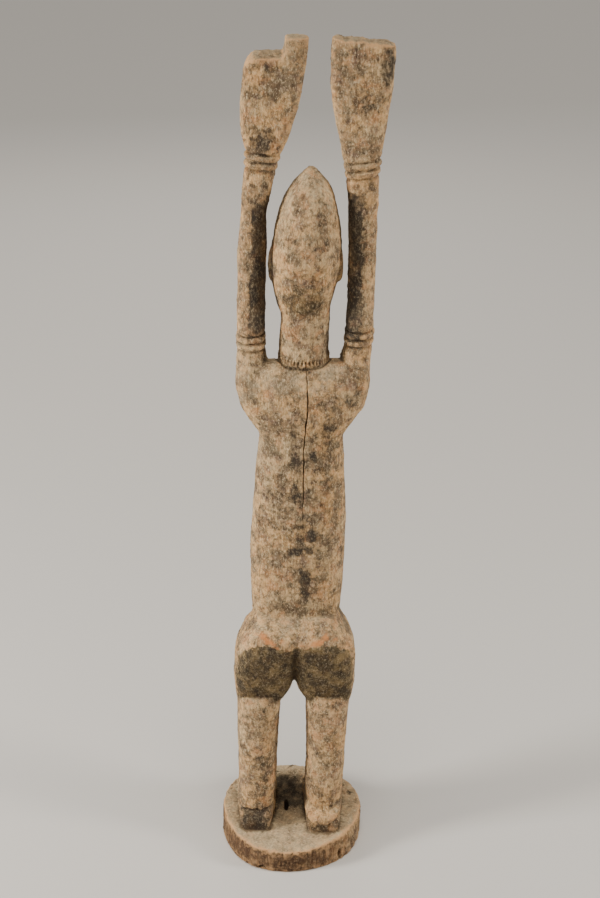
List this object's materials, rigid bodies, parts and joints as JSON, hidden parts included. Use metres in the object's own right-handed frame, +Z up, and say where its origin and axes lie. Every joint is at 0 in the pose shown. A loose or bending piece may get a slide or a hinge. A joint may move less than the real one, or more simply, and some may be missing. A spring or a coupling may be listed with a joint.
{
  "type": "dogon figure",
  "caption": "Standing carved wooden figure with both arms raised straight up, flat hands, tall pointed coiffure, bent knees and a low round base, all from one log.",
  "frame": {"origin": "centre of the flat underside of the round base", "axes": "+Z up, the figure faces -Y, +X is the figure's own left"},
  "size_m": [0.1749, 0.159, 0.9004],
  "materials": {
    "weathered_wood": "dry, matt, weathered and encrusted carved wood"
  },
  "bodies": {
    "root": {"figure": "weathered_wood"}
  },
  "joints": []
}
